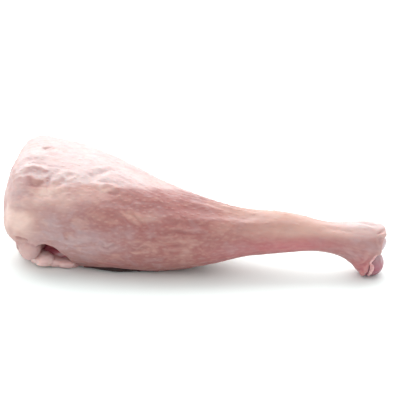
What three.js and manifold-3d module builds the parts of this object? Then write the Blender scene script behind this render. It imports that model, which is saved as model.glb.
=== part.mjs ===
// Raw goose leg: thigh and drumstick in one piece, lying on its inner side with the skin up.
//
// Millimetres, +Z up. +X runs from the knee to the hock, the drumstick lies along the near side (-Y)
// and the thigh reaches back to the far side (+Y). The origin is on the table under the middle of the
// leg. Four tissues are separate solids: the skin-covered leg, the bare thigh muscle on its underside,
// the fold of fat that the knee end lies on, and the knuckle of the shin bone that shows at the hock.

import * as THREE from "three";
import { mergeVertices } from "three/addons/utils/BufferGeometryUtils.js";
import Module from "manifold-3d";

const wasm = await Module();
wasm.setup();

// ---------------------------------------------------------------------------- driving dimensions

const LENGTH = 212; // knee end to hock end
const DEPTH = 104; // near side of the drumstick to far side of the thigh, before the swellings
const HEIGHT = 58; // table to the crest of the thigh, before the swellings
const GAP = 0.3; // clearance between neighbouring tissues

const KNEE_CAP = 10; // how far the rounding of the knee end reaches in
const HOCK_CAP = 3; // the same at the hock
const LOWER_FULLNESS = 2.1; // exponent of a section's lower half: 2 is an ellipse

const LEG_RINGS = 66;
const LEG_SIDES = 48;

// A place on the leg: shares of LENGTH from the knee end, of DEPTH from the near side, and of HEIGHT.
const place = (along, across, up) =>
  new THREE.Vector3((along - 0.5) * LENGTH, (across - 0.5) * DEPTH, up * HEIGHT);

// ---------------------------------------------------------------------------- sections of the leg

// Each section stands across the leg, at a share of LENGTH. Its near side, crest and far side are
// shares of DEPTH, and its bottom, waist and top are shares of HEIGHT. Where the bottom is negative
// the meat is pressed flat by the table. fullness is the exponent of its upper half.
const section = (along, [near, crest, far], [bottom, waist, top], fullness = 2.1) => ({
  along,
  measures: [near, crest, far, bottom, waist, top, fullness],
});

const SECTIONS = {
  kneeTip: section(0, [0.17, 0.48, 0.86], [0.26, 0.46, 0.9], 2.6),
  knee: section(0.06, [0.13, 0.5, 0.99], [0.1, 0.43, 1.02], 3.3),
  thighEnd: section(0.12, [0.09, 0.51, 1], [-0.04, 0.42, 1.03], 2.6),
  thigh: section(0.2, [0.05, 0.48, 1], [-0.1, 0.41, 0.98], 2.3),
  thighShoulder: section(0.31, [0.02, 0.38, 0.86], [-0.08, 0.4, 0.89]),
  calf: section(0.43, [0, 0.25, 0.64], [-0.02, 0.38, 0.745]),
  calfEnd: section(0.54, [0.005, 0.17, 0.45], [0.075, 0.38, 0.655]),
  shinTop: section(0.645, [0.015, 0.13, 0.32], [0.185, 0.39, 0.595]),
  shin: section(0.775, [0.02, 0.12, 0.235], [0.22, 0.4, 0.56]),
  ankle: section(0.86, [0.03, 0.115, 0.205], [0.2, 0.37, 0.505]),
  heelSlope: section(0.9, [0.02, 0.115, 0.215], [0.14, 0.32, 0.51]),
  heel: section(0.935, [0.005, 0.115, 0.225], [0, 0.27, 0.52]),
  hock: section(0.97, [0.005, 0.115, 0.225], [-0.01, 0.27, 0.505]),
  hockEnd: section(1, [0.015, 0.115, 0.215], [0.02, 0.27, 0.48], 2.3),
};

const sections = Object.values(SECTIONS);
const measuresAt = new THREE.CubicInterpolant(
  sections.map(({ along }) => along),
  sections.flatMap(({ measures }) => measures),
  sections[0].measures.length,
);

// How wide a rounded end is at a distance from its tip, as a share of its full width.
function capShare(distanceFromTip, reach) {
  const inside = Math.max(0, 1 - distanceFromTip / reach);
  return Math.sqrt(1 - inside * inside);
}

const signedPower = (value, power) => Math.sign(value) * Math.abs(value) ** power;

// The bare form of the leg, before its folds: a point at a share of LENGTH and an angle round it.
function legForm(along, angle) {
  const [near, crest, far, bottom, waist, top, fullness] = measuresAt.evaluate(along);
  const cap = capShare(along * LENGTH, KNEE_CAP) * capShare((1 - along) * LENGTH, HOCK_CAP);
  const across = Math.cos(angle);
  const up = Math.sin(angle);
  const halfDepth = across > 0 ? far - crest : crest - near;
  const halfHeight = up > 0 ? top - waist : waist - bottom;
  const power = 2 / (up > 0 ? fullness : LOWER_FULLNESS);
  return place(
    along,
    crest + cap * halfDepth * signedPower(across, power),
    waist + cap * halfHeight * signedPower(up, power),
  );
}

// ---------------------------------------------------------------------------- folds and swellings

// A swelling raises the skin by its lift in millimetres, and a negative lift presses a hollow.
const SWELLINGS = {
  kneePad: { at: place(0.035, 0.2, 0.36), reach: 17, lift: 2.6 },
  kneeTop: { at: place(0.05, 0.36, 0.75), reach: 18, lift: 1.2 },
  overKnee: { at: place(0.1, 0.2, 0.72), reach: 14, lift: -1.8 },
  calfBelly: { at: place(0.36, 0.02, 0.34), reach: 34, lift: 1.6 },
  shinTendon: { at: place(0.71, 0.12, 0.64), reach: 15, lift: 1.4 },
  behindShin: { at: place(0.8, 0.1, 0.25), reach: 13, lift: -0.8 },
  farFoldOfThigh: { at: place(0.33, 0.84, 0.26), reach: 17, lift: 4 },
  farFoldOfCalf: { at: place(0.51, 0.52, 0.24), reach: 14, lift: 3.4 },
};

// A crease is a groove pressed into the skin along a curve.
const CREASES = {
  underKneePad: {
    through: [place(0.005, 0.36, 0.2), place(0.03, 0.2, 0.21), place(0.075, 0.14, 0.2)],
    reach: 3.2,
    depth: 2.4,
  },
  betweenFarFolds: {
    through: [place(0.34, 0.66, 0.92), place(0.4, 0.76, 0.6), place(0.42, 0.72, 0.3), place(0.44, 0.62, 0)],
    reach: 6,
    depth: 5,
  },
  topOfCalf: {
    through: [place(0.3, 0.08, 0.8), place(0.42, 0.07, 0.68), place(0.55, 0.09, 0.63), place(0.66, 0.1, 0.6)],
    reach: 5,
    depth: 1,
  },
};
const CREASE_STEPS = 24;

const creaseLines = Object.values(CREASES).map(({ through, reach, depth }) => ({
  points: new THREE.CatmullRomCurve3(through).getSpacedPoints(CREASE_STEPS),
  reach,
  depth,
}));

const falloff = (distance, reach) => Math.exp(-((distance / reach) ** 2));

// How far the skin stands out from the bare form at a point.
function reliefAt(point) {
  let height = 0;
  for (const { at, reach, lift } of Object.values(SWELLINGS)) {
    height += lift * falloff(point.distanceTo(at), reach);
  }
  for (const { points, reach, depth } of creaseLines) {
    const nearest = Math.min(...points.map((onLine) => point.distanceTo(onLine)));
    height -= depth * falloff(nearest, reach);
  }
  return height;
}

const PROBE_ALONG = 0.0004; // steps either way that the direction of the skin is measured over
const PROBE_ANGLE = 0.02;

// A point of the finished skin: the form, moved along its own normal by the relief, and never below
// the table.
function legPoint(along, angle) {
  const inside = THREE.MathUtils.clamp(along, PROBE_ALONG, 1 - PROBE_ALONG);
  const lengthways = legForm(inside + PROBE_ALONG, angle).sub(legForm(inside - PROBE_ALONG, angle));
  const roundways = legForm(inside, angle + PROBE_ANGLE).sub(legForm(inside, angle - PROBE_ANGLE));
  const normal = roundways.cross(lengthways).normalize();
  const point = legForm(along, angle);
  point.addScaledVector(normal, reliefAt(point));
  point.z = Math.max(point.z, 0);
  return point;
}

// ---------------------------------------------------------------------------- meshes and solids

// A closed skin over rings of points, with a pole at each end. pointAt takes shares of the way from
// the first pole to the second and of the way round, by the right-hand rule about that way.
function closedSkin(rings, sides, pointAt) {
  const points = [pointAt(0, 0)];
  for (let ring = 1; ring < rings; ring++) {
    for (let side = 0; side < sides; side++) {
      points.push(pointAt(ring / rings, side / sides));
    }
  }
  points.push(pointAt(1, 0));

  const lastPole = points.length - 1;
  const vertex = (ring, side) => 1 + (ring - 1) * sides + (side % sides);
  const triangles = [];
  for (let side = 0; side < sides; side++) {
    triangles.push(0, vertex(1, side + 1), vertex(1, side));
    for (let ring = 1; ring < rings - 1; ring++) {
      const [a, b] = [vertex(ring, side), vertex(ring, side + 1)];
      const [c, d] = [vertex(ring + 1, side), vertex(ring + 1, side + 1)];
      triangles.push(a, b, c, b, d, c);
    }
    triangles.push(lastPole, vertex(rings - 1, side), vertex(rings - 1, side + 1));
  }
  const geometry = new THREE.BufferGeometry().setFromPoints(points);
  geometry.setIndex(triangles);
  return geometry;
}

function solidFrom(geometry) {
  const bare = geometry.clone();
  bare.deleteAttribute("normal");
  bare.deleteAttribute("uv");
  const merged = mergeVertices(bare);
  return new wasm.Manifold(
    new wasm.Mesh({
      numProp: 3,
      vertProperties: merged.attributes.position.array,
      triVerts: Uint32Array.from(merged.index.array),
    }),
  );
}

function geometryFrom(solid) {
  const { vertProperties, triVerts } = solid.getMesh();
  const geometry = new THREE.BufferGeometry();
  geometry.setAttribute("position", new THREE.BufferAttribute(vertProperties, 3));
  geometry.setIndex(new THREE.BufferAttribute(triVerts, 1));
  geometry.computeVertexNormals();
  return geometry;
}

// A rounded lump of the given half sizes, made bigger all round by margin, pitched about Y and then
// turned about Z, and flattened by the table at the height floor.
function lump({ centre, half, pitch = 0, turn = 0, sides = 22, margin = 0, floor = -Infinity }) {
  const geometry = new THREE.SphereGeometry(1, sides, sides / 2);
  geometry.scale(half[0] + margin, half[1] + margin, half[2] + margin);
  geometry.rotateY(pitch);
  geometry.rotateZ(turn);
  geometry.translate(centre.x, centre.y, centre.z);
  const position = geometry.attributes.position;
  for (let i = 0; i < position.count; i++) {
    position.setZ(i, Math.max(position.getZ(i), floor - margin));
  }
  return solidFrom(geometry);
}

const joined = (solids) => solids.reduce((whole, solid) => whole.add(solid));

// ---------------------------------------------------------------------------- the tissues

// The lower end of the shin bone has two condyles, one above the other as the leg lies.
const CONDYLES = {
  upper: { centre: place(0.951, 0.115, 0.325), half: [10.2, 10, 7.8] },
  lower: { centre: place(0.957, 0.115, 0.113), half: [8, 9.8, 7] },
};

const hockKnuckle = (margin) =>
  joined(Object.values(CONDYLES).map((condyle) => lump({ ...condyle, margin, floor: 0 })));

// The bare muscle on the underside of the thigh is a low dome on a flat base, inside the edge of the
// skin. It shows in the gap above the fold of fat.
const MUSCLE = { centre: place(0.212, 0.485, 0), half: [35, 31], height: 15.5 };
const MUSCLE_LIFT = 0.6; // its base hangs this far above the table
const MUSCLE_FULLNESS = 3.4; // exponent of its section
const MUSCLE_SQUARENESS = 2.7; // exponent of its outline seen from above
const MUSCLE_RINGS = 9;
const MUSCLE_SIDES = 40;

function thighMuscle(margin, base) {
  const { centre, half, height } = MUSCLE;
  const inSection = 2 / MUSCLE_FULLNESS;
  const inPlan = 2 / MUSCLE_SQUARENESS;
  const dome = closedSkin(MUSCLE_RINGS, MUSCLE_SIDES, (share, round) => {
    const climb = (share * MUSCLE_RINGS - 1) / (MUSCLE_RINGS - 1);
    if (climb < 0) return new THREE.Vector3(centre.x, centre.y, base);
    const tilt = (climb * Math.PI) / 2;
    const spread = Math.cos(tilt) ** inSection;
    const angle = 2 * Math.PI * round;
    return new THREE.Vector3(
      centre.x + (half[0] + margin) * spread * signedPower(Math.cos(angle), inPlan),
      centre.y + (half[1] + margin) * spread * signedPower(Math.sin(angle), inPlan),
      climb === 0 ? base : (height + margin) * Math.sin(tilt) ** inSection,
    );
  });
  return solidFrom(dome);
}

// Three soft lobes of skin and fat lie side by side under the near corner of the knee end.
const FAT_LOBES = {
  outer: { centre: place(0.067, 0.42, 0.07), half: [10, 12, 6.8], turn: -0.3 },
  middle: { centre: place(0.122, 0.34, 0.02), half: [9, 11, 4], turn: -0.5 },
  inner: { centre: place(0.172, 0.26, 0.02), half: [9, 10.5, 3.2], turn: -0.6 },
};

const fatFold = (margin) =>
  joined(Object.values(FAT_LOBES).map((lobe) => lump({ ...lobe, margin, floor: 0 })));

// The skin stops short of the table at the near corner of the thigh, where the muscle shows. At the
// hock it is drawn back, from the lower condyle further than from the upper one.
const SKIN_OPENINGS = {
  nearCorner: { centre: place(0.132, 0.13, 0.1), half: [13, 20, 8.5], pitch: 0.6, sides: 32 },
  upperCondyle: { centre: place(1.031, 0.115, 0.31), half: [11.5, 50, 10.5], sides: 40 },
  lowerCondyle: { centre: place(1, 0.115, 0.05), half: [11.5, 50, 15], sides: 40 },
};

function skinCoveredLeg() {
  // Rings are closest together at the two rounded ends.
  const form = closedSkin(LEG_RINGS, LEG_SIDES, (share, round) =>
    legPoint((1 - Math.cos(Math.PI * share)) / 2, 2 * Math.PI * round),
  );
  const neighbours = joined([hockKnuckle(GAP), thighMuscle(GAP, -GAP), fatFold(GAP)]);
  const openings = joined(Object.values(SKIN_OPENINGS).map(lump));
  return solidFrom(form).subtract(neighbours).subtract(openings);
}

// ---------------------------------------------------------------------------- the scene graph

const MATERIALS = {
  skin: new THREE.MeshStandardMaterial({ color: 0xc79a97, roughness: 0.42, metalness: 0 }),
  muscle: new THREE.MeshStandardMaterial({ color: 0x8e3644, roughness: 0.38, metalness: 0 }),
  fat: new THREE.MeshStandardMaterial({ color: 0xe4c6b2, roughness: 0.4, metalness: 0 }),
  cartilage: new THREE.MeshStandardMaterial({ color: 0xcdb3b9, roughness: 0.3, metalness: 0 }),
};

function tissue(name, solid, material) {
  const mesh = new THREE.Mesh(geometryFrom(solid), material);
  mesh.name = name;
  return mesh;
}

const gooseLeg = new THREE.Group();
gooseLeg.add(
  tissue("leg", skinCoveredLeg(), MATERIALS.skin),
  tissue("thigh_muscle", thighMuscle(0, MUSCLE_LIFT).subtract(fatFold(GAP)), MATERIALS.muscle),
  tissue("fat_fold", fatFold(0), MATERIALS.fat),
  tissue("hock_knuckle", hockKnuckle(0), MATERIALS.cartilage),
);

// The swellings shift the outline a little, so the origin is set from the finished leg.
const outline = new THREE.Box3().setFromObject(gooseLeg);
const middle = outline.getCenter(new THREE.Vector3());
gooseLeg.position.set(-middle.x, -middle.y, -outline.min.z);

export default gooseLeg;
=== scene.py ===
"""Raw goose leg, skin side up on a pale table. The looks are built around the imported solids."""

import itertools
import math

import bmesh
import bpy
import numpy as np
from mathutils import Matrix, Vector
from mathutils.bvhtree import BVHTree


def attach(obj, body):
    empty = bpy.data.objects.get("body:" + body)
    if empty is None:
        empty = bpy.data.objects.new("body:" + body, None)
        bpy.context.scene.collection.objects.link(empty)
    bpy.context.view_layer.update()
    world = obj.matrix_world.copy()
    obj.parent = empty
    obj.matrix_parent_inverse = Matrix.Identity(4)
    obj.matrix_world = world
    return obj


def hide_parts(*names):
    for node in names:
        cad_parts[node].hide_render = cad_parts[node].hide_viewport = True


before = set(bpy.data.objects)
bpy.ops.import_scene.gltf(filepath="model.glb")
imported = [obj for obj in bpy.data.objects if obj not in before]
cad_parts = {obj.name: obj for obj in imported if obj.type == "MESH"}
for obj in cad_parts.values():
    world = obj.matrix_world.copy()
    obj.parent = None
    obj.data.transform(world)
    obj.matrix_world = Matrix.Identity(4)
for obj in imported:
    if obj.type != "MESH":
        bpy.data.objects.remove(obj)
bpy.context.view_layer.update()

bl_info = {
    "name": "Raw Goose Leg",
    "version": (1, 0, 0),
    "blender": (4, 5, 0),
    "location": "View3D > Sidebar > Goose Leg",
    "description": "Dresses the packed solids of a raw goose leg in skin, fat, muscle and cartilage",
    "category": "Object",
}

MM = 0.001  # metres in a millimetre
BODY = "root"

SKIN_NODE = "leg"
MUSCLE_NODE = "thigh_muscle"
FAT_NODE = "fat_fold"
KNUCKLE_NODE = "hock_knuckle"
BARE_NODES = (MUSCLE_NODE, FAT_NODE, KNUCKLE_NODE)  # what shows beside the skin


# ---------------------------------------------------------------------------- settings


def colour_property(name, description, default):
    return bpy.props.FloatVectorProperty(
        name=name, description=description, default=default, size=3, subtype="COLOR", min=0.0, max=1.0,
    )


def length_property(name, description, default, **limits):
    return bpy.props.FloatProperty(
        name=name, description=description, default=default, precision=5,
        subtype="DISTANCE", unit="LENGTH", **limits,
    )


class SkinSettings(bpy.types.PropertyGroup):
    """Sizes and colours of the skin."""

    voxel: length_property(
        "Grain of the mesh", "Edge length of the skin's mesh before it is thinned",
        0.52 * MM, min=0.3 * MM, max=2 * MM)
    most_triangles: bpy.props.IntProperty(
        name="Most triangles", description="The skin is thinned to this many triangles",
        default=194000, min=10000,
    )
    wrinkles: bpy.props.FloatProperty(
        name="Wrinkles", description="How deep the fine wrinkles are, as a share of the real ones",
        default=1.0, min=0.0, max=3.0, subtype="FACTOR",
    )
    follicle_spacing: length_property(
        "Follicle spacing", "Least distance between two feather follicles", 3.4 * MM, min=1 * MM)
    follicle_width: length_property(
        "Follicle width", "Width of the bump that a follicle raises", 1.7 * MM, min=0.2 * MM)
    follicle_height: length_property(
        "Follicle height", "Height of the bump that a follicle raises", 0.24 * MM, min=0.0)
    middle: colour_property("Skin", "The skin's main colour, a mauve pink", (0.335, 0.141, 0.129))
    rose: colour_property("Rose", "Where dark meat shows through thin skin", (0.315, 0.112, 0.104))
    lilac: colour_property("Lilac", "Where sinew shows through thin skin", (0.429, 0.3, 0.304))
    blush: colour_property("Blush", "Bright pink, where the skin is thinnest", (0.5, 0.153, 0.172))
    # Cream is also the colour that ridges and follicle bumps are painted towards, as painted highlight.
    cream: colour_property("Cream", "Where the skin is padded with fat", (0.725, 0.519, 0.456))
    peach: colour_property("Peach", "Thin fat under the skin of the shank", (0.546, 0.335, 0.277))
    # Shaded pale and pale are a shaded and a lit copy of the pale skin: painted light, picked by how far
    # the skin faces up.
    shaded_pale: colour_property(
        "Shaded pale", "Pale skin where it turns down from the top of the thigh", (0.7, 0.52, 0.51))
    pale: colour_property("Pale", "Taut skin over the fat of the thigh", (0.67, 0.555, 0.55))
    # The rim colour is the skin's own thin cut edge. It is also painted on the belly's lower lip as
    # reflected light.
    rim: colour_property("Rim", "The bright thin edge of the skin at its openings", (0.562, 0.281, 0.289))


class FleshSettings(bpy.types.PropertyGroup):
    """Colours of what shows beside the skin."""

    muscle: colour_property("Muscle", "Bare muscle of the inner thigh", (0.5, 0.125, 0.165))
    sinew: colour_property("Sinew", "Silvery skin over the muscle, and tendons", (0.515, 0.335, 0.328))
    fat: colour_property("Fat", "Soft fat of the fold under the knee end", (0.88, 0.62, 0.58))
    cartilage: colour_property("Cartilage", "Gristle over the knuckle of the hock", (0.55, 0.395, 0.425))


class StageSettings(bpy.types.PropertyGroup):
    """The table, the lights and the camera."""

    floor_colour: colour_property("Table", "Colour of the table", (0.88, 0.96, 0.95))
    overhead_power: bpy.props.FloatProperty(
        name="Overhead light", description="Power of the softbox above the leg, in watts",
        default=27.0, min=0.0, subtype="POWER", unit="POWER",
    )
    room_light: bpy.props.FloatProperty(
        name="Room light", description="How brightly the white room lights the leg",
        default=1.04, min=0.0,
    )
    camera_distance: length_property(
        "Camera distance", "From the camera to the point that it looks at", 620 * MM, min=0.1)
    camera_elevation: bpy.props.FloatProperty(
        name="Camera elevation", description="How far the camera looks down",
        default=math.radians(20), subtype="ANGLE", unit="ROTATION",
    )
    camera_lens: bpy.props.FloatProperty(
        name="Lens", description="Focal length on a 36 mm sensor",
        default=100.0, min=10.0, subtype="DISTANCE_CAMERA",
    )


# ---------------------------------------------------------------------------- noise and curves

TABLE_LENGTH = 256
NOISE_GAIN = 1.6  # brings the noise to about -1 to 1


def gradient_noise(points, seed):
    """Smooth noise from about -1 to 1 at each point, with one cell for each whole number."""
    random = np.random.default_rng(seed)
    shuffle = random.permutation(TABLE_LENGTH)
    gradients = random.normal(size=(TABLE_LENGTH, 3))
    gradients /= np.linalg.norm(gradients, axis=1)[:, None]
    cell = np.floor(points).astype(np.int64)
    inside = points - cell
    fade = inside**3 * (inside * (inside * 6 - 15) + 10)
    total = np.zeros(len(points))
    for corner in itertools.product((0, 1), repeat=3):
        x, y, z = ((cell + corner) % TABLE_LENGTH).T
        pick = shuffle[(shuffle[(shuffle[x] + y) % TABLE_LENGTH] + z) % TABLE_LENGTH]
        weight = np.prod(np.where(np.array(corner) == 1, fade, 1 - fade), axis=1)
        total += weight * np.einsum("ij,ij->i", gradients[pick], inside - corner)
    return total * NOISE_GAIN


def layered_noise(points, seed, layers):
    """Gradient noise with layers of itself on top, each half as coarse and half as strong."""
    total, strength, full = 0, 1.0, 0.0
    for layer in range(layers):
        total = total + strength * gradient_noise(points * 2**layer, seed + layer)
        full += strength
        strength *= 0.5
    return total / full


def smooth_step(values, low, high):
    """0 below low, 1 above high, and a smooth climb between them."""
    share = np.clip((values - low) / (high - low), 0, 1)
    return share * share * (3 - 2 * share)


def soft_spot(points, centre, reach):
    """1 at the centre of an ellipsoid, and about a third at its reach."""
    away = (points - np.array(centre)) / np.array(reach)
    return np.exp(-(away**2).sum(axis=1))


def soft_spots(points, spots, start=0):
    """A start value plus the soft spots, each given by its centre, reach and strength."""
    total = start
    for centre, reach, strength in spots:
        total = total + strength * soft_spot(points, centre, reach)
    return total


def curve_through(points, steps=10):
    """A Catmull-Rom curve through points, as a polyline."""
    points = np.array(points, float)
    padded = np.vstack([2 * points[0] - points[1], points, 2 * points[-1] - points[-2]])
    line = []
    for a, b, c, d in zip(padded, padded[1:], padded[2:], padded[3:]):
        for step in range(steps):
            t = step / steps
            line.append(0.5 * (2 * b + (c - a) * t + (2 * a - 5 * b + 4 * c - d) * t**2
                               + (3 * b - a - 3 * c + d) * t**3))
    line.append(points[-1])
    return np.array(line)


def distance_to_line(points, line):
    """For each point, how far it is from a polyline and how far along the polyline it is, from 0 to 1."""
    nearest = np.full(len(points), np.inf)
    along = np.zeros(len(points))
    for number, (start, end) in enumerate(zip(line, line[1:])):
        direction = end - start
        share = np.clip((points - start) @ direction / max(direction @ direction, 1e-12), 0, 1)
        gap = np.linalg.norm(points - start - share[:, None] * direction, axis=1)
        closer = gap < nearest
        nearest[closer] = gap[closer]
        along[closer] = (number + share[closer]) / (len(line) - 1)
    return nearest, along


# ---------------------------------------------------------------------------- surfaces


SHRINK = 0.6  # share of the way to its neighbours' mean that a point goes in a round
SWELL = 0.62  # the same, away from them


class Surface:
    """A mesh's points in millimetres, with what sculpting needs: neighbours and normals."""

    def __init__(self, mesh):
        self.mesh = mesh
        count = len(mesh.vertices)
        flat = np.empty(count * 3, np.float32)
        mesh.vertices.foreach_get("co", flat)
        self.points = flat.reshape(-1, 3).astype(float) / MM
        edges = np.empty(len(mesh.edges) * 2, np.int32)
        mesh.edges.foreach_get("vertices", edges)
        self.starts, self.ends = edges.reshape(-1, 2).T
        self.degree = np.maximum(np.bincount(self.starts, minlength=count)
                                 + np.bincount(self.ends, minlength=count), 1)
        mesh.calc_loop_triangles()
        triangles = np.empty(len(mesh.loop_triangles) * 3, np.int32)
        mesh.loop_triangles.foreach_get("vertices", triangles)
        self.triangles = triangles.reshape(-1, 3)

    def normals(self):
        a, b, c = (self.points[self.triangles[:, corner]] for corner in range(3))
        face = np.cross(b - a, c - a)
        total = np.zeros_like(self.points)
        for corner in range(3):
            for axis in range(3):
                total[:, axis] += np.bincount(self.triangles[:, corner], face[:, axis], len(total))
        return total / np.maximum(np.linalg.norm(total, axis=1), 1e-12)[:, None]

    def neighbour_mean(self, values):
        """The mean of each vertex's neighbours."""
        columns = values.reshape(len(values), -1)
        total = np.empty_like(columns)
        for axis in range(columns.shape[1]):
            column = columns[:, axis]
            total[:, axis] = (np.bincount(self.starts, column[self.ends], len(column))
                              + np.bincount(self.ends, column[self.starts], len(column)))
        return (total / self.degree[:, None]).reshape(values.shape)

    def relaxed(self, values, rounds):
        """Values evened out over the surface."""
        for _ in range(rounds):
            values = values + SHRINK * (self.neighbour_mean(values) - values)
        return values

    def without_facets(self, rounds):
        """The points smoothed without shrinking the form: each round shrinks and then swells it."""
        points = self.points
        for _ in range(rounds):
            points = points + SHRINK * (self.neighbour_mean(points) - points)
            points = points - SWELL * (self.neighbour_mean(points) - points)
        return points

    def proud(self, rounds):
        """How far each point stands out of its evened surroundings: ridges above 0, grooves below."""
        return ((self.points - self.relaxed(self.points, rounds)) * self.normals()).sum(axis=1)

    def raise_by(self, heights):
        """Moves each point along its normal."""
        self.points += self.normals() * heights[:, None]

    def settle(self, clearance=0.0):
        """Keeps the points off the table, and writes them."""
        self.points[:, 2] = np.maximum(self.points[:, 2], clearance)
        self.write()

    def write(self):
        self.mesh.vertices.foreach_set("co", (self.points * MM).astype(np.float32).ravel())
        self.mesh.update()

    def paint(self, name, values):
        """Keeps a value for each vertex under a name that materials read."""
        layer = self.mesh.attributes.new(name, "FLOAT", "POINT")
        layer.data.foreach_set("value", np.clip(values, 0, 1).astype(np.float32))


def tree_of(mesh):
    """A tree that finds the nearest point of a mesh, in metres."""
    return BVHTree.FromPolygons([v.co for v in mesh.vertices], [p.vertices for p in mesh.polygons])


def distance_to_nodes(points, nodes):
    """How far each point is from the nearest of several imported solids, in millimetres."""
    nearest = np.full(len(points), np.inf)
    for node in nodes:
        tree = tree_of(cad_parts[node].data)
        found = [tree.find_nearest(Vector(point * MM))[3] for point in points]
        nearest = np.minimum(nearest, np.array(found) / MM)
    return nearest


def even_piece(name, voxel, node=None, lumps=()):
    """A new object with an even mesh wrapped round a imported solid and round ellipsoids."""
    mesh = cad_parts[node].data.copy() if node else bpy.data.meshes.new(name)
    mesh.materials.clear()
    loose = bmesh.new()
    loose.from_mesh(mesh)
    bmesh.ops.remove_doubles(loose, verts=loose.verts, dist=1e-6)
    for lump in lumps:
        bmesh.ops.create_icosphere(loose, subdivisions=4, radius=1, matrix=lump_matrix(**lump))
    loose.to_mesh(mesh)
    loose.free()
    piece = bpy.data.objects.new(name, mesh)
    bpy.context.scene.collection.objects.link(piece)
    wrap = piece.modifiers.new("even mesh", "REMESH")
    wrap.mode = "VOXEL"
    wrap.voxel_size = voxel
    apply_modifiers(piece)
    return piece


def lump_matrix(centre, half, turn=0.0, pitch=0.0):
    """Stretches a unit ball into an ellipsoid: pitched about its own X axis, then turned about Z."""
    place = Matrix.Translation(Vector(centre) * MM)
    rotation = Matrix.Rotation(turn, 4, "Z") @ Matrix.Rotation(pitch, 4, "X")
    return place @ rotation @ Matrix.Diagonal((*(Vector(half) * MM), 1))


def apply_modifiers(piece):
    """Swaps a piece's mesh for the one that its modifiers make, and takes them off."""
    bpy.context.view_layer.update()
    evaluated = piece.evaluated_get(bpy.context.evaluated_depsgraph_get())
    made = bpy.data.meshes.new_from_object(evaluated)
    old = piece.data
    piece.modifiers.clear()
    piece.data = made
    made.name = piece.name
    bpy.data.meshes.remove(old)


def thin_out(piece, most_triangles):
    """Collapses edges until a piece has no more than so many triangles, flat stretches first."""
    piece.data.calc_loop_triangles()
    count = len(piece.data.loop_triangles)
    if count <= most_triangles:
        return
    thinner = piece.modifiers.new("thinner", "DECIMATE")
    thinner.ratio = most_triangles / count
    thinner.use_collapse_triangulate = True
    apply_modifiers(piece)


def finish_piece(piece, material, slot, *nodes):
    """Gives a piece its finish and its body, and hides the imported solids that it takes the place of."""
    piece.data.materials.clear()
    piece.data.materials.append(material)
    piece.data.polygons.foreach_set("material_index", [0] * len(piece.data.polygons))
    piece.data.polygons.foreach_set("use_smooth", [True] * len(piece.data.polygons))
    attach(piece, BODY)
    if nodes:
        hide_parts(*nodes)


# ---------------------------------------------------------------------------- the leg's own coordinates

SLICE = 4.0  # millimetres between the places where the leg's middle is measured
FULL_RADIUS = 36.0  # mean radius of the leg where the wrinkles have their full size
TAPER = 0.55  # how much the wrinkles narrow with the leg


def running_mean(values, width):
    """A row of values, each swapped for the mean of those around it."""
    return np.convolve(np.pad(values, width // 2, "edge"), np.ones(width) / width, "valid")


class LegLine:
    """The middle and the mean radius of the leg at each place along it."""

    def __init__(self, points):
        self.places = np.arange(points[:, 0].min() + SLICE, points[:, 0].max() - SLICE, SLICE)
        rows = []
        for place in self.places:
            ring = points[np.abs(points[:, 0] - place) < SLICE][:, 1:]
            low, high = ring.min(axis=0), ring.max(axis=0)
            rows.append([*(low + high) / 2, (high - low).mean() / 2])
        rows = np.array(rows)
        self.rows = [running_mean(row, 7) for row in rows.T]

    def at(self, points):
        return [np.interp(points[:, 0], self.places, column) for column in self.rows]

    def cells(self, points, along, across):
        """Noise coordinates with cells that are long along the leg and narrow with it."""
        across_middle, up_middle, radius = self.at(points)
        widen = (FULL_RADIUS / radius) ** TAPER / across
        return np.column_stack([
            points[:, 0] / along,
            (points[:, 1] - across_middle) * widen,
            (points[:, 2] - up_middle) * widen,
        ])


# ---------------------------------------------------------------------------- folds of the skin
# A fold is its reach, its height, and the places that it runs through, all in millimetres. A crease
# has a negative height and a ridge a positive one. Each place is moved onto the skin before it is used.

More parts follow.
